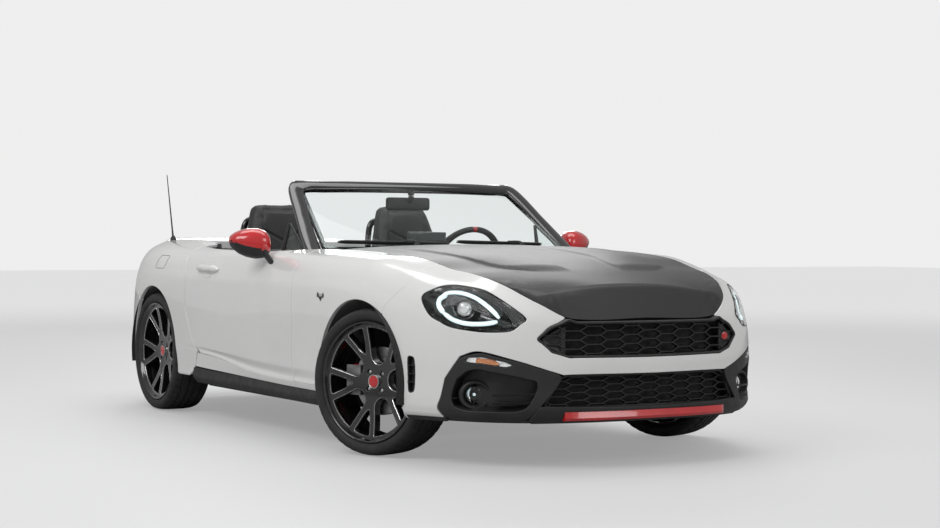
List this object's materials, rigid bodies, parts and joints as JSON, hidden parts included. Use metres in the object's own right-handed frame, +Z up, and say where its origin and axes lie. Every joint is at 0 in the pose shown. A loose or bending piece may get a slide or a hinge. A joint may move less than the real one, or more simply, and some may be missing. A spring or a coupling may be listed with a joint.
{
  "type": "roadster convertible car",
  "caption": "Low two-seat open sports car with a long bonnet, folded soft top, hinged doors, bonnet and boot lid, steering front wheels and rolling wheels.",
  "frame": {"origin": "on the ground under the middle of the car, halfway between nose and tail", "axes": "+X forward, +Y to the car's left, +Z up"},
  "size_m": [4.054, 1.93, 1.2336],
  "materials": {
    "body_paint": "gloss",
    "matt_black_paint": "satin",
    "black_plastic": "matte",
    "gloss_black_trim": "gloss",
    "red_paint": "gloss",
    "lamp_glass": "clear",
    "tail_lamp": "gloss",
    "clear_glass": "clear",
    "interior_plastic": "matte",
    "interior_leather": "satin",
    "roof_fabric": "matte",
    "tyre_rubber": "matte",
    "wheel_alloy": "gloss",
    "steel": "satin",
    "cast_alloy": "cast",
    "stainless": "satin",
    "underseal": "matte"
  },
  "bodies": {
    "body_shell": {"underbody": "underseal", "front_bumper": "body_paint", "grilles": "black_plastic", "front_frame": "underseal", "splitter": "black_plastic", "lamp_inserts": "black_plastic", "headlights": "lamp_glass", "front_wing_left": "body_paint", "front_wing_right": "body_paint", "rear_quarter_left": "body_paint", "rear_quarter_right": "body_paint", "rear_bumper": "body_paint", "rear_diffuser": "black_plastic", "tail_lights": "tail_lamp", "rear_deck": "body_paint", "sill_covers": "black_plastic", "windscreen_frame": "gloss_black_trim", "windscreen_glass": "clear_glass", "dashboard": "interior_plastic", "centre_console": "interior_plastic", "seats": "interior_leather", "roll_hoops": "gloss_black_trim", "folded_roof": "roof_fabric", "aerial": "black_plastic", "engine_block": "cast_alloy", "front_suspension": "steel", "rear_suspension": "steel", "exhaust": "stainless"},
    "steering_wheel": {"steering_wheel": "interior_leather"},
    "bonnet": {"bonnet": "matt_black_paint"},
    "boot_lid": {"boot_lid": "body_paint"},
    "door_left": {"door_left": "body_paint", "mirror_left": "red_paint"},
    "front_knuckle_left": {"front_knuckle_left": "steel"},
    "front_wheel_left": {"front_tyre_left": "tyre_rubber", "front_rim_left": "wheel_alloy"},
    "rear_wheel_left": {"rear_tyre_left": "tyre_rubber", "rear_rim_left": "wheel_alloy"},
    "door_right": {"door_right": "body_paint", "mirror_right": "red_paint"},
    "front_knuckle_right": {"front_knuckle_right": "steel"},
    "front_wheel_right": {"front_tyre_right": "tyre_rubber", "front_rim_right": "wheel_alloy"},
    "rear_wheel_right": {"rear_tyre_right": "tyre_rubber", "rear_rim_right": "wheel_alloy"}
  },
  "joints": [
    {"name": "steer_left", "type": "hinge", "parent": "body_shell", "child": "front_knuckle_left", "pos_m": [1.147, 0.69, 0.305], "axis": [0, 0, 1], "range_deg": [-56, 14]},
    {"name": "steer_right", "type": "hinge", "parent": "body_shell", "child": "front_knuckle_right", "pos_m": [1.147, -0.69, 0.305], "axis": [0, 0, 1], "range_deg": [-56, 14]},
    {"name": "steering_column_turn", "type": "hinge", "parent": "body_shell", "child": "steering_wheel", "pos_m": [-0.038, 0.36, 0.782], "axis": [-0.9063, 0, 0.4226], "range_deg": [-784, 196]},
    {"name": "door_left_hinge", "type": "hinge", "parent": "body_shell", "child": "door_left", "pos_m": [0.437, 0.845, 0.485], "axis": [0, 0, -1], "range_deg": [0, 62]},
    {"name": "door_right_hinge", "type": "hinge", "parent": "body_shell", "child": "door_right", "pos_m": [0.437, -0.845, 0.485], "axis": [0, 0, 1], "range_deg": [0, 62]},
    {"name": "bonnet_hinge", "type": "hinge", "parent": "body_shell", "child": "bonnet", "pos_m": [0.672, 0, 0.825], "axis": [0, -1, 0], "range_deg": [0, 50]},
    {"name": "boot_lid_hinge", "type": "hinge", "parent": "body_shell", "child": "boot_lid", "pos_m": [-1.306, 0, 0.857], "axis": [0, 1, 0], "range_deg": [0, 65]},
    {"name": "front_wheel_left_spin", "type": "hinge", "parent": "front_knuckle_left", "child": "front_wheel_left", "pos_m": [1.12621, 0.74415, 0.305], "axis": [-0.3584, 0.9336, 0], "continuous": true},
    {"name": "rear_wheel_left_spin", "type": "hinge", "parent": "body_shell", "child": "rear_wheel_left", "pos_m": [-1.163, 0.7515, 0.305], "axis": [0, 1, 0], "continuous": true},
    {"name": "front_wheel_right_spin", "type": "hinge", "parent": "front_knuckle_right", "child": "front_wheel_right", "pos_m": [1.16779, -0.74415, 0.305], "axis": [-0.3584, 0.9336, 0], "continuous": true},
    {"name": "rear_wheel_right_spin", "type": "hinge", "parent": "body_shell", "child": "rear_wheel_right", "pos_m": [-1.163, -0.7515, 0.305], "axis": [0, 1, 0], "continuous": true}
  ],
  "couplings": [
    {"joint": "steer_right", "follows": "steer_left", "ratio": 1},
    {"joint": "steering_column_turn", "follows": "steer_left", "ratio": 14}
  ]
}
